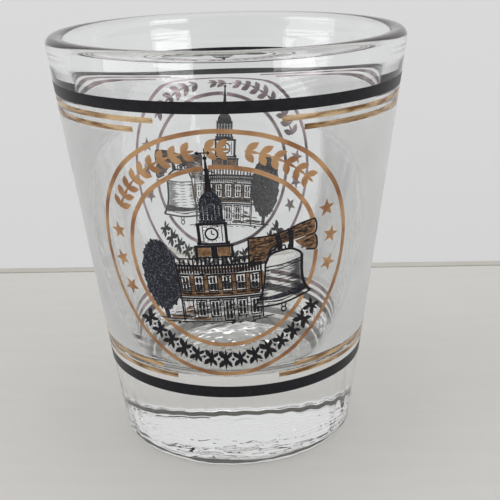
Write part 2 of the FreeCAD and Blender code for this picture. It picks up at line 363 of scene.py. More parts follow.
def glassOutline():
    # the glass's half section, from the middle of its underside round to the middle of the cup's floor
    s = glassShape
    height = cadBox[1].z
    foot = (wallRadius(0.0), 0.0)
    rim = (wallRadius(height), height)
    cup = (wallRadius(s["cupFloor"]) - s["footWall"], s["cupFloor"])
    bare = (rim[0] - s["lipWall"], height)
    slope = (bare[0] - cup[0]) / (bare[1] - cup[1])

    def cupWall(level):
        # a straight slope that turns upright over the blend
        above = np.maximum(level - (height - s["beadDepth"]), 0)
        turned = np.minimum(above, s["beadBlend"])
        return cup[0] + slope * (level - cup[1]) - slope * (turned ** 2 / 2 / s["beadBlend"] + above - turned)

    lip = (float(cupWall(np.array(height))), height)
    dish = foot[0] - s["heelRound"] - s["footRing"]
    # the dish under the base is a shallow arch
    t = np.linspace(0, 1, 72)[:, None]
    arch = np.concatenate([t * dish, s["puntDepth"] * (1 - t ** 2)], -1)
    heel = cornerArc((0, 0), foot, rim, s["heelRound"])
    outerLip = cornerArc(foot, rim, lip, s["lipRound"], 16)
    innerLip = cornerArc(rim, lip, (lip[0], 0.0), s["lipRound"], 16)
    corner = cornerArc(bare, cup, (0.0, s["cupFloor"]), s["cupCorner"], 24)
    level = crowded((0, corner[0][1]), (0, innerLip[-1][1]), 64)[:, 1]
    wall = np.stack([cupWall(level), level], -1)[::-1]
    return np.concatenate([
        arch,
        crowded(arch[-1], heel[0], 10)[1:-1],
        heel,
        crowded(heel[-1], outerLip[0], 32)[1:-1],
        outerLip,
        innerLip[1:],
        wall[1:-1],
        corner,
        crowded(corner[-1], (0.0, s["cupFloor"]), 24)[1:],
    ])


def makeGlass():
    # the outline turned about the axis. Fire and mould leave it a little uneven low down: the floor and the
    # underside rise and fall by sums of sine waves over the turn and the share of the full radius, and the
    # foot's outside is pressed in by the product of two slanting waves
    s = glassShape
    outline = glassOutline()
    turn = np.linspace(0, 2 * math.pi, s["around"], endpoint=False)[:, None]
    radius, level = outline[None, :, 0], outline[None, :, 1]
    share = radius / radius.max()
    waves = (
        np.sin(3 * turn + 23 * share) + 0.8 * np.sin(5 * turn - 37 * share + 1.3)
        + 0.6 * np.sin(11 * turn + 53 * share + 0.4) + 0.4 * np.sin(19 * turn - 71 * share)
    ) / 2.8
    fine = (
        np.sin(4 * turn + 131 * share) + 0.8 * np.sin(7 * turn - 167 * share + 1.3)
        + 0.6 * np.sin(13 * turn + 97 * share)
    ) / 2.4
    fade = np.clip(radius / s["calm"], 0, 1) ** 2
    inside = np.arange(outline.shape[0]) > np.argmax(outline[:, 1])
    floor = np.clip((s["floorTop"] - level) / s["floorFade"], 0, 1) * inside
    under = np.clip((s["underTop"] - level) / s["underFade"], 0, 1) * ~inside
    free = level > s["standing"]
    floorLift = (0.45 * waves + 0.05 * fine) * floor
    underLift = (1.6 * waves + 0.3 * fine) * under * free
    lift = s["ripple"] * fade * (floorLift + underLift)
    foot = np.clip((s["footTop"] - level) / s["footFade"], 0, 1) * ~inside
    dent = (1 + np.sin(23 * turn + level / (1.0 * mm)) * np.sin(14 * turn - level / (1.7 * mm) + 1.0)) / 2
    push = -2.2 * s["ripple"] * dent * foot * free
    points = np.stack([
        (radius + push) * np.cos(turn),
        (radius + push) * np.sin(turn),
        np.maximum(level + lift, 0),
    ], -1)
    faces = gridFaces(len(turn), level.size, closedRows=True)
    shell = (points.reshape(-1, 3), faces, np.zeros(len(faces), int))
    piece = addPiece("glassBody", [shell], [glass], merge=1e-6, sharp=80)
    piece.visible_shadow = False                   # clear glass: lamps light the table straight through it
    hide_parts("glass_body")


makeGlass()
print("glass made")


# prints that run round the glass

filmDepth = {
    # each film's lower and upper side, in millimetres over the glass; minus is sunk into it
    "band": (-0.02, 0.03),
    "frost": (0.006, 0.03),      # lies on the glass without wetting it, so it stays bright
    "wash": (-0.012, 0.020),
    "copper": (-0.018, 0.027),
    "line": (-0.022, 0.034),
}


def depthOf(film):
    under, over = filmDepth[film]
    return under * mm, over * mm


def roundBand(name, node, material):
    # a strip of the cone between two heights, all the way round
    low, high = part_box(node)[0].z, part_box(node)[1].z
    turn = np.linspace(0, 2 * math.pi, 288, endpoint=False)
    rise = np.linspace(low, high, 6)
    angle, z = np.meshgrid(turn, rise, indexing="ij")

    def layer(lift):
        radius = wallRadius(z) + lift
        return np.stack([radius * np.cos(angle), radius * np.sin(angle), z], -1)

    under, over = depthOf("band")
    shell = thinShell(layer(over), layer(under), closedRows=True)
    piece = addPiece(name, [shell], [material])
    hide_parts(node)


roundBand("upperBlackBand", "upper_black_band", blackEnamel)
roundBand("lowerBlackBand", "lower_black_band", blackEnamel)


def sideStrip(name, node, side, materials, feather=0.0):
    # a strip between the two windows on one side; its ends follow the windows' round edges
    low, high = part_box(node)[0].z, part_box(node)[1].z
    start, end = (headings["front"], headings["rear"])
    if side == "left":
        start, end = end, start
    if end < start:
        end += 2 * math.pi
    level = medallion["level"]
    reach = (end - start) / 2 * wallAtMedallion
    rise = np.linspace(low - level, high - level, 60 if feather else 5) / math.cos(slant)
    bow = rise if feather else np.full(5, rise.mean())      # the gold lines' ends are cut straight
    inset = np.sqrt(np.maximum(windowRadius ** 2 - bow ** 2, 0))
    under, over = depthOf("frost" if feather else "band")
    share = np.linspace(-1, 1, 181)
    x = share[:, None] * (reach - inset)[None, :]
    y = np.broadcast_to(rise, x.shape)
    flat = np.stack([x, y], -1)
    heading = (start + end) / 2
    shell = thinShell(onWall(flat, over, heading, level), onWall(flat, under, heading, level))
    attributes = None
    if feather:
        toWindow = np.hypot(reach - np.abs(x), y) - windowRadius
        cover = np.clip(toWindow / feather, 0, 1)
        cover = cover * cover * (3 - 2 * cover)
        attributes = {"cover": np.tile(cover.ravel(), 2)}
    piece = addPiece(name, [shell], materials, attributes=attributes)
    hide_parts(node)


for side in ("left", "right"):
    sideStrip(f"frost{side.title()}", f"frost_{side}", side, [frost], feather=2.2 * mm)
    for place in ("upper", "lower"):
        for number in (1, 2):
            sideStrip(f"{place}GoldLine{number}{side.title()}", f"{place}_gold_line_{number}_{side}",
                      side, [goldLustre, lustreBack])
print("bands, gold lines and frost made")


# the medallions: flat pictures in millimetres, drawn for an inner ring of 13.1 mm

def polyline(corners, step=0.35):
    # even points along straight runs between given corners
    corners = np.array(corners, float)
    run = np.concatenate([[0], np.cumsum(np.linalg.norm(np.diff(corners, axis=0), axis=1))])
    along = np.linspace(0, run[-1], max(2, int(run[-1] / step) + 1))
    along = np.unique(np.concatenate([along, run]))
    return np.stack([np.interp(along, run, corners[:, 0]), np.interp(along, run, corners[:, 1])], -1)


def curve(corners, count=24):
    # a smooth path through given points: Catmull-Rom on evenly spaced parameters
    p = np.array(corners, float)
    p = np.concatenate([[2 * p[0] - p[1]], p, [2 * p[-1] - p[-2]]])
    t = np.linspace(0, len(p) - 3 - 1e-9, count)
    i = t.astype(int)
    f = (t - i)[:, None]
    a, b, c, d = p[i], p[i + 1], p[i + 2], p[i + 3]
    square, cube = 2 * a - 5 * b + 4 * c - d, 3 * b - a - 3 * c + d
    return 0.5 * (2 * b + (c - a) * f + square * f ** 2 + cube * f ** 3)


def ovalPath(middle, radii, start=0.0, end=360.0, count=40):
    angle = np.radians(np.linspace(start, end, count))
    return np.stack([middle[0] + radii[0] * np.cos(angle), middle[1] + radii[1] * np.sin(angle)], -1)


def strokeGrid(path, width, ends=1.0):
    # a pen stroke: the path offset to both sides by half its width, which falls to the ends' share
    path = np.asarray(path, float)
    ahead = np.gradient(path, axis=0)
    ahead /= np.linalg.norm(ahead, axis=1, keepdims=True) + 1e-12
    side = np.stack([-ahead[:, 1], ahead[:, 0]], -1)
    t = np.linspace(-1, 1, len(path))[:, None]
    half = width / 2 * (ends + (1 - ends) * (1 - t ** 4))
    return np.stack([path + side * half, path - side * half], 1)


def strokeLoop(path, width):
    # a stroke whose last point meets its first
    path = np.asarray(path, float)[:-1]
    ahead = np.roll(path, -1, axis=0) - np.roll(path, 1, axis=0)
    ahead /= np.linalg.norm(ahead, axis=1, keepdims=True)
    side = np.stack([-ahead[:, 1], ahead[:, 0]], -1)
    return np.stack([path + side * width / 2, path - side * width / 2], 1)


def penLine(corners, width, ends=1.0):
    return strokeGrid(polyline(corners), width, ends)


def penCurve(corners, count, width, ends=1.0):
    return strokeGrid(curve(corners, count), width, ends)


def patchGrid(corners, across=8, up=6):
    # a four-cornered patch, straight between its corners: low left, low right, high right, high left
    a, b, c, d = (np.array(p, float) for p in corners)
    u = np.linspace(0, 1, across)[:, None, None]
    v = np.linspace(0, 1, up)[None, :, None]
    return (a * (1 - u) + b * u) * (1 - v) + (d * (1 - u) + c * u) * v


def boxGrid(left, right, low, high):
    across = max(2, int(abs(right - left) / 0.8) + 2)
    up = max(2, int(abs(high - low) / 0.8) + 2)
    return patchGrid([(left, low), (right, low), (right, high), (left, high)], across, up)


def betweenGrid(first, second, across=4):
    # a patch between two paths of equally many points
    v = np.linspace(0, 1, across)[None, :, None]
    return np.asarray(first)[:, None, :] * (1 - v) + np.asarray(second)[:, None, :] * v


def discGrid(outline, middle, rings=4):
    # a closed outline shrunk in rings to its middle
    v = np.linspace(1, 0.02, rings)[None, :, None]
    middle = np.array(middle, float)
    return middle + (np.asarray(outline)[:, None, :] - middle) * v


def wobble(count, seed, smooth=1):
    # repeatable unevenness between -1 and 1
    values = np.random.default_rng(seed).uniform(-1, 1, count)
    for _ in range(smooth):
        values = (np.roll(values, 1) + 2 * values + np.roll(values, -1)) / 4
    return values


def drawPiece(name, node, heading, marks, materials, slot, film):
    # every mark is a flat grid, or a pair of a grid and True where its rows close on themselves
    under, over = depthOf(film)
    shells = []
    for mark in marks:
        grid, closed = mark if isinstance(mark, tuple) else (mark, False)
        flat = np.asarray(grid) * mm * artScale
        top = onWall(flat, over, heading, medallion["level"], medallion["tilt"])
        bottom = onWall(flat, under, heading, medallion["level"], medallion["tilt"])
        shells.append(thinShell(top, bottom, closedRows=closed))
    piece = addPiece(name, shells, materials)
    if node:
        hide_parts(node)


ringDrawn = {
    "outer": ringOuter / artScale / mm,
    "inner": medallion["drawnRing"] / mm,
    "line": medallion["ringLine"] / artScale / mm,
}


def ringMark(outside, start=0.0, end=360.0):
    # part of a ring; the line is a little uneven along its length
    closed = end - start >= 360
    angle = np.radians(np.linspace(start, end, int((end - start) / 1.5) + 1))
    if closed:
        angle = angle[:-1]
    edge = outside + 0.02 * np.sin(17 * angle)
    share = np.linspace(0, 1, 3)[None, :]
    radius = edge[:, None] - share * ringDrawn["line"]
    grid = np.stack([radius * np.cos(angle)[:, None], radius * np.sin(angle)[:, None]], -1)
    return grid, closed


def starMark(angle, radius=1.3):
    # five points, one away from the middle of the medallion
    orbit = (ringDrawn["inner"] + ringDrawn["outer"] - ringDrawn["line"]) / 2
    middle = np.array([orbit * math.cos(math.radians(angle)), orbit * math.sin(math.radians(angle))])
    turn = np.radians(angle + 36 * np.arange(10))
    reach = np.where(np.arange(10) % 2, 0.42, 1.0) * radius
    outline = middle + np.stack([reach * np.cos(turn), reach * np.sin(turn)], -1)
    return discGrid(outline, middle, 3), True


frieze = {
    "margin": 0.75,
    "upperGroups": [(98, 153, 9), (83, 93, 2), (38, 76, 6)],
    "lowerGroup": (213, 328, 14),
}


def polarPlace(motifs, angle, orbit):
    # a motif's own x runs clockwise along the arc and its y points outwards
    a = math.radians(angle)
    outward = np.array([math.cos(a), math.sin(a)])
    clockwise = np.array([math.sin(a), -math.cos(a)])
    return [outward * (orbit + motif[..., 1:2]) + clockwise * motif[..., 0:1] for motif in motifs]


def leafGrid(root, tip, fatness):
    # a leaf: two arcs from root to tip that bulge by its fatness
    root, tip = np.array(root, float), np.array(tip, float)
    t = np.linspace(0, 1, 12)[:, None]
    spine = root + (tip - root) * t
    side = np.array([-(tip - root)[1], (tip - root)[0]])
    bulge = fatness * np.sin(math.pi * np.clip(t, 0.03, 0.97)) ** 0.8
    return betweenGrid(spine + side * bulge, spine - side * bulge, 3)


def laurelMarks(start, end, count):
    # a sprig of leaf pairs on a stem, along an arc
    low = ringDrawn["inner"] + frieze["margin"]
    high = ringDrawn["outer"] - ringDrawn["line"] - frieze["margin"]
    orbit, half = (low + high) / 2, (high - low) / 2
    marks = []
    step = (end - start) / count
    for number in range(count):
        angle = end - step * (number + 0.5)
        size = half * (1.0 + 0.08 * wobble(40, 5)[number])
        leaves = [leafGrid((-0.55, 0.10 * sign), (0.62, sign * size), 0.27) for sign in (1, -1)]
        leaves.append(leafGrid((-0.6, 0), (1.0, 0), 0.13))
        marks += polarPlace(leaves, angle, orbit)
    stem = ovalPath((0, 0), (orbit, orbit), start + 0.5, end - 0.5, 40)
    marks.append(strokeGrid(stem, 0.22))
    return marks


def lozengeMarks(start, end, count):
    # black ornament: tall lozenges with a leaf on each shoulder, and dots between them
    low = ringDrawn["inner"] + frieze["margin"] * 0.5
    high = ringDrawn["outer"] - ringDrawn["line"] - frieze["margin"] * 0.4
    orbit, half = (low + high) / 2, (high - low) / 2
    marks = []
    step = (end - start) / count
    for number in range(count):
        angle = start + step * (number + 0.5)
        tall = half * (1.0, 0.82, 0.9)[number % 3]
        motifs = [patchGrid([(0, -tall), (0.40, -0.1), (0, tall), (-0.40, 0.1)], 4, 4)]
        for sign in (1, -1):
            motifs.append(leafGrid((0.16, sign * 0.1), (1.02, sign * tall * 0.78), 0.26))
            motifs.append(leafGrid((-0.16, sign * 0.1), (-0.92, sign * tall * 0.70), 0.22))
        marks += polarPlace(motifs, angle, orbit)
        if number < count - 1:
            dot = patchGrid([(0, -0.26), (0.26, 0), (0, 0.26), (-0.26, 0)], 3, 3)
            marks += polarPlace([dot], angle + step / 2, orbit)
    return marks


# the tree: a ragged oval of foliage on a short trunk
treeShape = {"middle": (-8.85, -2.3), "radii": (2.8, 5.15), "seed": 11}


def treeMarks():
    (x, y), (wide, tall), seed = treeShape["middle"], treeShape["radii"], treeShape["seed"]
    count = 96
    ragged = 1 + 0.05 * wobble(count, seed, 0) + 0.03 * wobble(count, seed + 1, 3)
    turn = np.linspace(0, 2 * math.pi, count, endpoint=False)
    outline = np.stack([x + wide * ragged * np.cos(turn), y + tall * ragged * np.sin(turn)], -1)
    foot = y - tall
    return [
        (discGrid(outline, (x, y), 8), True),
        penLine([(-8.9, foot + 0.3), (-8.8, foot - 1.3)], 0.7),
        penLine([(-10.2, foot - 1.2), (-7.2, foot - 1.35)], 0.22, 0.3),
    ]


def engraving(left, right, low, high, count, seed, upright=0.3):
    # short pen strokes scattered over a box, level or upright
    random = np.random.default_rng(seed)
    middle = np.stack([random.uniform(left, right, count), random.uniform(low, high, count)], -1)
    reach = random.uniform(0.12, 0.42, count)[:, None]
    turned = (random.uniform(0, 1, count) < upright)[:, None]
    ahead = np.where(turned, (0.04, 1.0), (1.0, 0.05)) * reach
    side = np.where(turned, (1.0, 0.0), (0.0, 1.0)) * random.uniform(0.035, 0.085, count)[:, None]
    back, front = middle - ahead, middle + ahead
    corners = np.stack([back - side, front - side * 0.5, front + side, back + side * 0.6], 1)
    return [patchGrid(four, 2, 2) for four in corners]


# the hall: two floors of windows, a dark cornice and a balustrade, drawn in black over a brown wash
hall = {
    "west": -6.3, "east": 4.9, "ground": -9.0, "belt": -5.55, "cornice": -1.75, "roof": -0.75, "rail": 0.25,
}
bays = 6


def hallWash():
    west, east, _, belt, cornice, _, _ = hall.values()
    marks = [boxGrid(west + 0.2, east - 0.4, belt + 0.35, belt + 1.0)]
    bay = (east - west) / bays
    for number in range(bays + 1):
        middle = west + bay * number
        left = middle - 0.32 + (0.3 if number == 0 else 0)
        marks.append(boxGrid(left, middle + 0.34, belt + 1.1, cornice - 0.45))
    marks.append(boxGrid(west + 0.1, east - 0.8, cornice + 0.25, cornice + 0.6))
    for left, right, low in ((-8.2, -5.2, -8.55), (-4.9, -2.4, -8.8), (-6.0, -4.6, -7.8), (-5.6, -4.9, -7.2)):
        marks.append(boxGrid(left, right, low, low + 0.32))
    return marks


def windowMarks(left, right, low, high, fill):
    # a dark pane with light glazing bars, and a frame line round it
    marks = []
    middle = (left + right) / 2
    sill = low + (high - low) * 0.5
    inset, bar = 0.1, 0.07
    if fill:
        for bottom, top in ((low + inset, sill - bar), (sill + bar, high - inset)):
            marks.append(boxGrid(left + inset, middle - bar, bottom, top))
            marks.append(boxGrid(middle + bar, right - inset, bottom, top))
    left, right, low, high = left - 0.16, right + 0.16, low - 0.14, high + 0.14
    marks.append(penLine([(left, low), (right, low), (right, high), (left, high), (left, low)], 0.15))
    return marks


def hallLines():
    west, east, ground, belt, cornice, roof, rail = hall.values()
    marks = []
    courses = ((belt, 0.26), (belt + 0.32, 0.14), (cornice - 0.32, 0.16), (roof, 0.30))
    for level, width in courses:
        marks.append(penLine([(west - 0.3, level), (east + 0.2, level - 0.05)], width))
    # the cornice is dark, with light gaps left between short blocks
    blocks = 30
    width = (east - west + 0.4) / blocks
    for number in range(blocks):
        left = west - 0.2 + width * number
        marks.append(boxGrid(left, left + width * 0.74, cornice - 0.15, roof - 0.12))
    marks += [penLine([(side, ground), (side, roof)], 0.22) for side in (west, east)]
    bay = (east - west) / bays
    for number in range(bays):
        left = west + bay * number + 0.48
        marks += windowMarks(left, left + bay - 0.92, belt + 1.15, cornice - 0.6, True)
        marks.append(penLine([(left - 0.2, belt + 0.7), (left + bay - 0.7, belt + 0.7)], 0.26))
    for number in range(bays):
        left = west + bay * number + 0.42
        low = ground + (0.15 if number == 3 else 0.75)      # the fourth opening is the door
        marks += windowMarks(left, left + bay - 0.84, low, belt - 0.5, number > 0)
        # a flat hood over each opening
        marks.append(penLine([(left - 0.3, belt - 0.3), (left + bay - 0.5, belt - 0.3)], 0.16))
    # ground lines and the path
    for left, right, level in (
        (-9.6, 2.4, -9.15), (-8.6, -3.2, -8.75), (-9.0, -5.4, -8.25), (2.9, 4.6, -8.85),
        (3.4, 5.6, -9.25), (5.0, 6.6, -9.0), (-1.2, 1.8, -9.4), (-7.6, -6.4, -7.75),
    ):
        marks.append(penLine([(left, level), (right, level + 0.05)], 0.15, 0.3))
    marks += engraving(west, east, belt + 0.4, cornice - 0.4, 120, 7)
    marks += engraving(west, east, ground, belt - 0.2, 120, 8, 0.55)
    marks += engraving(west, east - 0.3, cornice - 0.3, rail + 0.2, 70, 9, 0.2)
    marks += engraving(-9.0, east - 1.0, -9.6, ground, 26, 10, 0.0)
    # the balustrade on the roof
    posts = 17
    for number in range(posts):
        x = west + 0.5 + (east - west - 1.4) * number / (posts - 1)
        if -3.7 < x < 1.5:
            continue
        marks.append(boxGrid(x - 0.12, x + 0.12, roof + 0.15, rail - 0.15))
    rails = ((west + 0.2, -3.6), (1.4, east - 1.2))
    marks += [penLine([(left, rail), (right, rail)], 0.2) for left, right in rails]
    for number in range(9):
        x = -3.4 + 0.56 * number
        marks.append(boxGrid(x - 0.14, x + 0.14, roof + 0.12, rail + 0.1))
    return marks


# the tower: a plinth with two brown panels, a clock stage, a dark belfry and a spire with a vane
tower = {"axis": -0.95, "plinth": (2.45, 0.35, 2.15), "clock": (1.72, 2.35, 5.15), "belfry": (1.42, 5.3, 9.6)}


def plinthWash():
    half, low, high = tower["plinth"]
    x = tower["axis"]
    sides = ((x - half + 0.35, x - 0.45), (x + 0.45, x + half - 0.35))
    return [boxGrid(left, right, low + 0.25, high - 0.3) for left, right in sides]


def plinthLines():
    half, low, high = tower["plinth"]
    x = tower["axis"]
    return [
        boxGrid(x - 0.42, x + 0.42, low + 0.1, high - 0.25),
        boxGrid(x - half, x - half + 0.32, low, high - 0.2),
        boxGrid(x + half - 0.32, x + half, low, high - 0.2),
        boxGrid(x - half - 0.1, x + half + 0.1, high - 0.3, high + 0.02),
        boxGrid(x - half, x + half, low - 0.06, low + 0.18),
        boxGrid(x - half + 0.35, x - half + 0.75, high + 0.05, high + 0.5),
        boxGrid(x + half - 0.75, x + half - 0.35, high + 0.05, high + 0.5),
    ]


def clockLines():
    half, low, high = tower["clock"]
    x = tower["axis"]
    middle = (x - 0.1, (low + high) / 2)
    marks = [
        penLine([(x - half, low), (x - half, high)], 0.42),
        penLine([(x + half, low), (x + half, high)], 0.36),
        penLine([(x - half + 0.55, low + 0.3), (x - half + 0.55, high - 0.3)], 0.12),
        penLine([(x + half - 0.5, low + 0.3), (x + half - 0.5, high - 0.3)], 0.12),
        penLine([(x - half - 0.25, low), (x + half + 0.25, low)], 0.26),
        penLine([(x - half - 0.25, high), (x + half + 0.25, high)], 0.34),
        (strokeLoop(ovalPath(middle, (0.78, 0.82), 0, 360, 33), 0.24), True),
        penLine([middle, (middle[0] + 0.02, middle[1] + 0.52)], 0.15),
        penLine([middle, (middle[0] + 0.36, middle[1] - 0.12)], 0.15),
    ]
    for number in range(12):
        angle = math.radians(30 * number)
        spot = (middle[0] + 1.05 * math.cos(angle), middle[1] + 1.08 * math.sin(angle))
        if abs(spot[0] - middle[0]) < 0.95:
            marks.append(boxGrid(spot[0] - 0.06, spot[0] + 0.06, spot[1] - 0.06, spot[1] + 0.06))
    return marks


def belfryMarks():
    # columns and louvres, closed by a small dome
    half, low, high = tower["belfry"]
    x = tower["axis"] + 0.15
    marks = [
        boxGrid(x - half - 0.2, x + half + 0.2, low, low + 0.45),
        boxGrid(x - half, x + half, low + 2.6, low + 3.0),
    ]
    for number in range(6):
        left = x - half + number * (2 * half - 0.34) / 5
        marks.append(boxGrid(left, left + 0.34, low + 0.4, low + 2.7))
    for number in range(9):
        level = low + 0.62 + number * 0.23
        marks.append(boxGrid(x - half + 0.2, x + half - 0.2, level, level + 0.13))
    dome = ovalPath((x, low + 3.0), (half * 0.86, high - low - 3.0), 0, 180, 25)
    base = np.stack([dome[:, 0], np.full(len(dome), low + 2.95)], -1)
    marks.append(betweenGrid(dome, base, 4))
    return marks


def spireMarks():
    x = tower["axis"] + 0.15
    low = tower["belfry"][2] - 0.2
    marks = [
        patchGrid([(x - 0.42, low), (x + 0.42, low), (x + 0.10, 13.9), (x - 0.10, 13.9)], 3, 12),
        (discGrid(ovalPath((x, 14.05), (0.26, 0.26), 0, 360, 17)[:-1], (x, 14.05), 2), True),
        penLine([(x - 0.9, 14.75), (x + 0.6, 14.72)], 0.16),
        patchGrid([(x - 1.2, 14.75), (x - 0.75, 14.5), (x - 0.7, 14.75), (x - 0.75, 15.0)], 3, 3),
        penLine([(x, 14.0), (x, 15.3)], 0.13),
        penLine([(x + 0.35, 14.5), (x + 0.6, 14.72), (x + 0.35, 14.95)], 0.12),
    ]
    for level, half in ((9.9, 0.55), (11.0, 0.42), (12.4, 0.3)):
        marks.append(boxGrid(x - half, x + half, level, level + 0.16))
    return marks


# the yoke: a stout timber, forked on the right, with grain lines and two iron straps
yokeShape = {
    "top": [(3.45, 2.75), (6.2, 2.75), (8.6, 3.2), (10.4, 3.75), (12.45, 4.05)],
    "upperRight": [(12.45, 4.05), (12.75, 3.1), (12.55, 2.0), (11.3, 1.75)],
    "lowerRight": [(12.5, 1.75), (12.85, 1.0), (12.75, -0.35), (11.2, -0.15)],
    "under": [(3.35, -1.15), (5.6, -0.9), (6.1, 0.2), (7.3, 1.15), (10.2, 1.3), (11.3, 1.75)],
}


def yokeWash():
    y = yokeShape
    top = curve(y["top"], 30)
    under = curve([(3.35, -1.15), (5.2, -0.95), (6.0, 0.6), (8.0, 1.35), (12.55, 2.0)], 30)
    lower = betweenGrid(
        curve([(9.6, 1.45), (11.2, 1.7), (12.5, 1.7), (12.85, 1.1)], 14),
        curve([(9.9, 1.0), (10.9, 0.2), (11.8, -0.2), (12.75, -0.3)], 14), 4,
    )
    return [betweenGrid(top, under, 6), lower]


def yokeLines():
    y = yokeShape
    marks = [
        penCurve(y["top"], 40, 0.22),
        penCurve(y["upperRight"], 20, 0.24),
        penCurve(y["lowerRight"], 20, 0.24),
        penCurve(y["under"][:4], 26, 0.24),
        penLine([y["top"][0], y["under"][0]], 0.22),
        penCurve([(10.6, 1.45), (11.6, 1.85), (12.5, 1.85)], 12, 0.14, 0.4),
    ]
    # grain
    for number in range(7):
        share = (number + 1) / 8
        top = curve([(3.7, 2.6), (6.2, 2.6), (8.6, 3.0), (12.2, 3.8)], 24)
        under = curve([(3.7, -0.9), (5.2, -0.7), (7.2, 1.2), (12.2, 2.1)], 24)
        path = top * (1 - share) + under * share
        path[:, 1] += 0.06 * wobble(24, 31 + number)
        start = 2 * (number % 3)
        marks.append(strokeGrid(path[start:24 - 3 * ((number + 1) % 3)], 0.10, 0.3))
    marks += engraving(3.6, 5.6, -0.8, 2.5, 46, 21, 0.0)
    marks += engraving(6.0, 12.2, 1.7, 2.9, 50, 22, 0.0)
    marks += engraving(9.2, 12.2, 2.4, 3.7, 26, 23, 0.0)
    marks += engraving(10.6, 12.5, 0.0, 1.4, 22, 24, 0.0)
    # straps
    for shift in (0.0, 1.75):
        for edge in (0.0, 0.42):
            marks.append(penCurve([
                (6.9 + shift + edge, 3.0 + 0.22 * shift),
                (7.2 + shift * 0.95 + edge, 1.9),
                (7.35 + shift * 0.85 + edge, 0.5),
            ], 12, 0.24))
        marks.append(penCurve([(7.1 + shift, 2.7 + 0.22 * shift), (7.55 + shift * 0.88, 0.6)], 10, 0.34))
    return marks


# the bell: half its width is 2.55 mm at the shoulder and flares with the fourth power of the way down
bell = {"axis": 8.05, "shoulder": -0.95, "lip": -6.95, "half": 2.55, "flare": 1.45, "lean": 0.12}


def bellEdge(side, down):
    # a point on the bell's left (-1) or right (1) edge; down runs from 0 at the shoulder to 1 at the lip
    b = bell
    down = np.asarray(down, float)
    x = b["axis"] - 0.25 * down + side * (b["half"] + 0.2 * down + b["flare"] * down ** 4)
    y = b["shoulder"] + (b["lip"] - b["shoulder"]) * down + b["lean"] * (x - b["axis"])
    return np.stack([x, y], -1)


def bellLines():
    b = bell
    down = np.linspace(0, 1, 30)
    left, right = bellEdge(-1, down), bellEdge(1, down)
    crown = curve([left[0], (6.1, -0.1), (7.2, 0.35), (8.9, 0.45), (10.0, -0.05), right[0]], 26)
    marks = [strokeGrid(left, 0.26), strokeGrid(right, 0.42), strokeGrid(crown, 0.30)]
    # the lip: a shallow curve, and a second line just over it
    middle = (left[-1] + right[-1]) / 2
    for rise, width in ((0.0, 0.26), (0.55, 0.13)):
        share = 1 - rise / (b["shoulder"] - b["lip"]) * 1.2
        ends = bellEdge(-1, share), bellEdge(1, share)
        marks.append(penCurve([ends[0], middle + (0, rise - 0.45), ends[1]], 24, width))
    # shoulder moulding and two bands round the waist
    for share, width in ((0.08, 0.16), (0.16, 0.10)):
        ends = bellEdge(-1, share), bellEdge(1, share)
        marks.append(penCurve([ends[0], (ends[0] + ends[1]) / 2 - (0, 0.18), ends[1]], 20, width))
    # engraved shading: short lines that thicken to the right
    rows = 34
    jitter = wobble(rows, 3, 0)
    for number in range(rows):
        share = 0.10 + 0.86 * number / rows
        ends = bellEdge(-1, share), bellEdge(1, share)
        width = ends[1][0] - ends[0][0]
        reach = 0.34 + 0.15 * jitter[number]
        start = ends[1] - (width * reach, 0.06 * width * reach)
        marks.append(penLine([start, ends[1] - (0.05, 0)], 0.105, 0.25))
        marks.append(penLine([ends[0], ends[0] + (0.75 + 0.4 * jitter[number], 0.0)], 0.11, 0.3))
        if number % 3 == 0:
            marks.append(penLine([ends[0] + (width * 0.3, 0), ends[0] + (width * 0.52, 0.03)], 0.09, 0.3))
    # crown loops
    for x in (7.1, 8.0, 8.95):
        loop = [(x - 0.28, 0.35), (x - 0.2, 1.05), (x + 0.2, 1.05), (x + 0.28, 0.35)]
        marks.append(penCurve(loop, 14, 0.2))
    return marks


def bellBandWash():
    # a dark band just over the lip
    down = np.linspace(0, 1, 20)
    low = bellEdge(-1, 0.86) * (1 - down[:, None]) + bellEdge(1, 0.90) * down[:, None]
    high = bellEdge(-1, 0.80) * (1 - down[:, None]) + bellEdge(1, 0.74) * down[:, None]
    low[:, 1] -= 0.35 * np.sin(math.pi * down)
    high[:, 1] -= 0.25 * np.sin(math.pi * down)
    return [betweenGrid(high, low, 4)]


def clapperMarks():
    return [
        penCurve([(7.75, -7.35), (7.6, -7.75), (7.75, -8.05)], 10, 0.18),
        penCurve([(8.25, -7.35), (8.2, -7.75), (8.05, -8.05)], 10, 0.18),
        (strokeLoop(ovalPath((7.9, -8.35), (0.36, 0.36), 0, 360, 21), 0.2), True),
    ]


inks = {
    # each ink's materials, outside and towards the glass, its slot and its film
    "copper": ([copperLustre, lustreBack], "copper_print", "copper"),
    "black": ([blackEnamel], "black_enamel", "line"),
    "navy": ([navyEnamel], "black_enamel", "line"),
    "navyWash": ([navyEnamel], "black_enamel", "wash"),
    "brownWash": ([brownEnamel], "brown_print", "wash"),
}
innerRingParts = [(95.0, 327.5), (18.0, 92.4), (333.5, 357.5)]   # it shows between spire, yoke and bell
starMiddles = (4.0, 182.0)
starSpread = 15.5


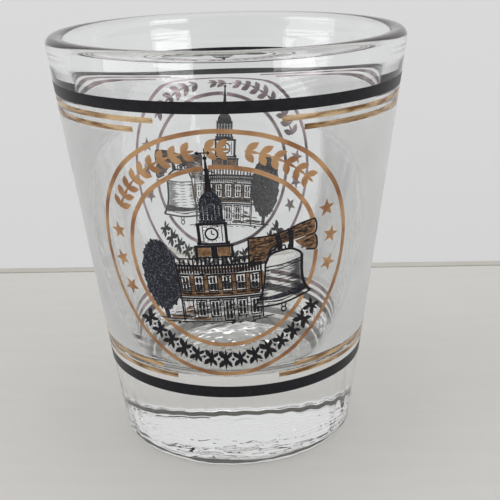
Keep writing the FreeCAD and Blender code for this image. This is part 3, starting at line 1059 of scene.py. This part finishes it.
def medallionPrints():
    # name, the CAD node it stands for, ink and marks of every print, in the order they are drawn
    yield "OuterRing", "outer_ring", "copper", [ringMark(ringDrawn["outer"])]
    for number, part in enumerate(innerRingParts, start=1):
        yield f"InnerRing{number}", f"inner_ring_{number}", "copper", [ringMark(ringDrawn["inner"], *part)]
    stars = [middle + starSpread * step for middle in starMiddles for step in (-1, 0, 1)]
    for number, angle in enumerate(stars, start=1):
        yield f"Star{number}", f"star_{number}", "copper", [starMark(angle)]
    for number, group in enumerate(frieze["upperGroups"], start=1):
        yield f"UpperFrieze{number}", f"upper_frieze_{number}", "copper", laurelMarks(*group)
    yield "LowerFrieze", "lower_frieze", "black", lozengeMarks(*frieze["lowerGroup"])
    yield "Tree", "tree", "navy", treeMarks()
    yield "HallWash", None, "brownWash", hallWash()
    yield "Hall", "hall", "black", hallLines()
    yield "PlinthWash", None, "brownWash", plinthWash()
    yield "Tower", "tower", "black", plinthLines()
    yield "ClockStage", "clock_stage", "black", clockLines()
    yield "Belfry", "belfry", "navy", belfryMarks()
    yield "Spire", "spire", "black", spireMarks()
    yield "YokeWash", "yoke", "brownWash", yokeWash()
    yield "YokeLines", None, "black", yokeLines()
    yield "BellBand", None, "navyWash", bellBandWash()
    yield "Bell", "bell", "black", bellLines()
    yield "Clapper", "clapper", "black", clapperMarks()


for side in ("front", "rear"):
    for name, node, ink, marks in medallionPrints():
        drawPiece(f"{side}{name}", node and f"{side}_{node}", headings[side], marks, *inks[ink])
    print(side, "medallion drawn")


# stage, light and camera

stage = {
    "tableBack": 65 * mm,
    "tableHalf": 600 * mm,
    "tableThick": 18 * mm,
    "tableRound": 0.8 * mm,
    "wallDistance": 320 * mm,
    "edgeBand": 2.6 * mm,        # a darker strip along the table's back edge
    "turn": math.radians(1.0),
}


def matte(name, color, spread, scale, glow=None):
    material, tree, shader = newMaterial(name)
    setInputs(shader, {"Roughness": 0.7, "Specular IOR Level": 0.25})
    noise = noiseOf(tree, scale, 5.0, (1, 6, 1))
    if glow:
        setInputs(shader, {"Emission Color": (1, 1, 1, 1), "Emission Strength": glow})
    low = tuple(c * (1 - spread) for c in color)
    high = tuple(min(1, c * (1 + spread)) for c in color)
    tone = rampOf(tree, noise.outputs["Fac"], [(0.3, (*low, 1)), (0.7, (*high, 1))])
    link(tree, tone, "Color", shader, "Base Color")
    return material


def stageBox(name, size, middle, material):
    bpy.ops.mesh.primitive_cube_add(size=1)
    box = bpy.context.object
    box.name = name
    box.data.transform(Matrix.Diagonal((*size, 1)))
    box.data.transform(Matrix.Translation(middle))
    box.data.transform(Matrix.Rotation(stage["turn"], 4, "Z"))
    box.data.materials.append(material)
    return box


def addStage():
    s = stage
    back, wide, thick = s["tableBack"], 2 * s["tableHalf"], s["tableThick"]
    deep = s["tableHalf"] + back
    top = matte("tableTop", (0.635, 0.625, 0.593), 0.015, 60.0)
    table = stageBox("table", (wide, deep, thick), (0, back - deep / 2, -thick / 2), top)
    bevel = table.modifiers.new("edge", "BEVEL")
    bevel.width = s["tableRound"]
    bevel.segments = 4
    # a strip of darker colour along the table's back edge
    darkerEdge = matte("tableEdgeDarker", (0.52, 0.505, 0.46), 0.06, 90.0)
    stageBox("tableEdge", (wide, s["edgeBand"], thick), (0, back + s["edgeBand"] / 2, -thick / 2), darkerEdge)

    bpy.ops.mesh.primitive_plane_add(size=1)
    wall = bpy.context.object
    wall.name = "backdrop"
    wall.data.transform(Matrix.Diagonal((4, 4, 1, 1)))
    wall.data.transform(Matrix.Rotation(math.radians(90), 4, "X"))
    wall.data.transform(Matrix.Translation((0, s["wallDistance"], 0)))
    wall.data.materials.append(matte("backdropPaint", (0.30, 0.30, 0.30), 0.01, 10.0, 0.45))


addStage()

paneShare = 0.8        # what the bars of a window leave free of each pane's height

lights = {
    # name: place, aimed at, width, height, watts, panes one over another
    "ceiling": ((0.0, 0.0, 0.9), (0, 0, 0.03), 1.2, 1.2, 2.6, 1),
    "windowRight": ((0.585, -0.546, 0.19), (0, 0, 0.05), 0.42, 0.44, 1.7, 4),
    "windowLeft": ((-0.705, -0.370, 0.20), (0, 0, 0.05), 0.60, 0.44, 1.7, 4),
}


def addLights():
    for name, (place, target, wide, tall, power, panes) in lights.items():
        aim = (Vector(target) - Vector(place)).to_track_quat("-Z", "Y")
        for pane in range(panes):
            lamp = bpy.data.lights.new(f"{name}{pane + 1}", "AREA")
            lamp.shape = "RECTANGLE"
            lamp.size = wide
            lamp.size_y = tall / panes * (paneShare if panes > 1 else 1.0)
            lamp.energy = power / panes
            holder = bpy.data.objects.new(lamp.name, lamp)
            bpy.context.scene.collection.objects.link(holder)
            shift = aim @ Vector((0, tall * ((pane + 0.5) / panes - 0.5), 0))
            holder.rotation_mode = "QUATERNION"
            holder.location = Vector(place) + shift
            holder.rotation_quaternion = aim
            holder.visible_camera = False


addLights()


def addRoom():
    # a pale room, darker towards -Y
    world = bpy.data.worlds.new("room")
    bpy.context.scene.world = world
    world.use_nodes = True
    tree = world.node_tree
    place = tree.nodes.new("ShaderNodeTexCoord")
    split = tree.nodes.new("ShaderNodeSeparateXYZ")
    link(tree, place, "Generated", split, "Vector")
    shift = tree.nodes.new("ShaderNodeMapRange")
    setInputs(shift, {"From Min": -1})
    link(tree, split, "Y", shift, "Value")
    tone = rampOf(tree, shift.outputs["Result"], [
        (0.0, (0.10, 0.10, 0.105, 1)), (1.0, (0.50, 0.50, 0.51, 1)),
        (0.13, (0.40, 0.40, 0.41, 1)), (0.34, (0.70, 0.70, 0.71, 1)), (0.60, (0.56, 0.56, 0.57, 1)),
    ])
    link(tree, tone, "Color", tree.nodes["Background"], "Color")
    tree.nodes["Background"].inputs["Strength"].default_value = 1.24


addRoom()

view = {
    "turn": 3.65,          # degrees round from -Y towards +X
    "distance": 141.18 * mm,
    "height": 75.56 * mm,
    "pitch": 0.3300,       # downwards, in radians, as are the next two
    "yaw": 0.0181,
    "roll": -0.0253,
    "lens": 70.83,
    "shiftY": -0.005,
}


def addCamera():
    camera = bpy.data.objects.new("camera", bpy.data.cameras.new("camera"))
    bpy.context.scene.collection.objects.link(camera)
    pitch, yaw, roll = view["pitch"], view["yaw"], view["roll"]
    forward = Vector((math.sin(yaw) * math.cos(pitch), math.cos(yaw) * math.cos(pitch), -math.sin(pitch)))
    right = Vector((math.cos(yaw), -math.sin(yaw), 0))
    up = right.cross(forward)
    right2 = math.cos(roll) * right + math.sin(roll) * up
    up2 = -math.sin(roll) * right + math.cos(roll) * up
    axes = Matrix((right2, up2, -forward)).transposed().to_4x4()
    place = Matrix.Translation((0, -view["distance"], view["height"]))
    camera.matrix_world = Matrix.Rotation(math.radians(view["turn"]), 4, "Z") @ place @ axes
    camera.data.lens = view["lens"]
    camera.data.sensor_width = 36
    camera.data.shift_y = view["shiftY"]
    camera.data.clip_start = 0.005
    bpy.context.scene.camera = camera


addCamera()

scene = bpy.context.scene
scene.view_settings.view_transform = "Standard"
scene.cycles.max_bounces = 32
scene.cycles.transmission_bounces = 32
scene.cycles.glossy_bounces = 12
scene.cycles.transparent_max_bounces = 32
scene.cycles.sample_clamp_indirect = 8.0
print("stage, light and camera set")
